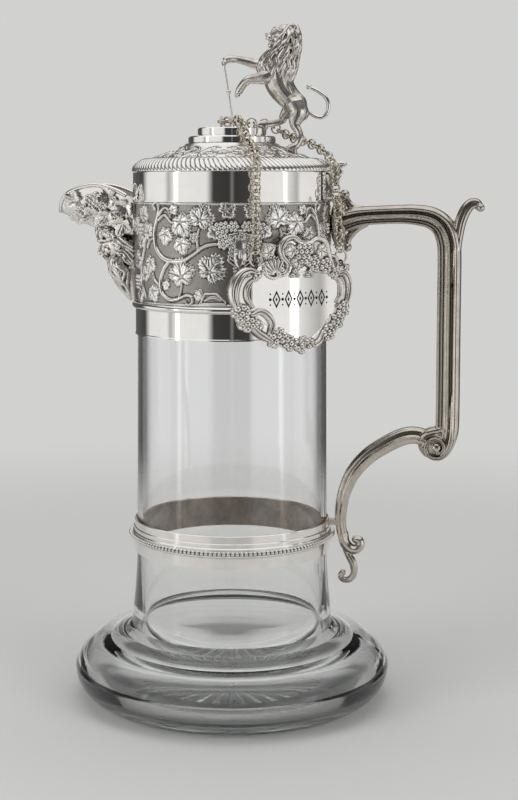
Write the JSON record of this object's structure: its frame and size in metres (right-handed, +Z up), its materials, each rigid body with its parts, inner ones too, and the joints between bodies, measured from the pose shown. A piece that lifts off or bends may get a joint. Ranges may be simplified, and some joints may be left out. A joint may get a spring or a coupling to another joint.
{
  "type": "claret jug",
  "caption": "Glass jug with a silver mount, hinged domed lid with a lion finial, reeded side handle, spout and a curved label hung on a chain.",
  "frame": {"origin": "centre of the flat resting face", "axes": "+Z up, +X towards the handle, -X towards the spout; the label hangs on the -Y side"},
  "size_m": [0.1914, 0.142, 0.3018],
  "materials": {
    "glass": "clear, slightly warm, with a worn foot",
    "cement": "matt brown plaster seen through the glass",
    "silver": "satin silver with light handling marks",
    "polished_silver": "polished silver",
    "embossed_silver": "embossed silver, tarnished in the hollows",
    "chain_silver": "silver chain with a yellowed tone"
  },
  "bodies": {
    "jug": {"glass_body": "glass", "collar_cement": "cement", "mount_cement": "cement", "lower_collar": "silver", "collar_beading": "silver", "skirt_band": "silver", "drum_moulding": "silver", "frieze_drum": "embossed_silver", "frieze_top_wire": "silver", "mouth_band": "polished_silver", "spout_shell": "silver", "spout_lip": "polished_silver", "spout_mask": "embossed_silver", "wreath_grapes": "embossed_silver", "handle_grip": "polished_silver", "handle_thumb_curl": "polished_silver", "handle_volute": "polished_silver", "handle_lower_arm": "polished_silver", "handle_drop_scroll": "polished_silver", "handle_foot_lug": "silver", "handle_socket": "silver", "socket_scrolls": "polished_silver", "hinge_plate": "embossed_silver", "fixed_knuckles": "silver", "hinge_pin": "silver"},
    "lid": {"lid_knuckle": "silver", "thumbpiece": "polished_silver", "lid_border": "silver", "lid_bezel": "silver", "lid_dome": "embossed_silver", "lid_step_low": "polished_silver", "lid_step_high": "polished_silver", "finial_stud": "silver", "finial_washer": "silver", "finial_nut": "silver", "staff": "silver", "lion": "embossed_silver", "lion_tail": "embossed_silver", "chain_saddle": "chain_silver"},
    "chain_drop": {"chain_falls": "chain_silver", "label_end_rings": "chain_silver"},
    "label": {"label_plate": "polished_silver", "label_frame": "embossed_silver", "label_grapes": "embossed_silver"}
  },
  "joints": [
    {"name": "lid_hinge", "type": "hinge", "parent": "jug", "child": "lid", "pos_m": [0.0474, 0, 0.2362], "axis": [0, 1, 0], "range_deg": [0, 90]},
    {"name": "chain_swing", "type": "hinge", "parent": "lid", "child": "chain_drop", "pos_m": [0.0165, -0.0443, 0.2389], "axis": [0.6748, 0.738, 0], "range_deg": [-95, 0]},
    {"name": "label_swing", "type": "hinge", "parent": "chain_drop", "child": "label", "pos_m": [0.03316, -0.03236, 0.1969], "axis": [0.766, 0.6428, 0], "range_deg": [-12, 0]}
  ],
  "couplings": [
    {"joint": "chain_swing", "follows": "lid_hinge", "ratio": -1}
  ]
}
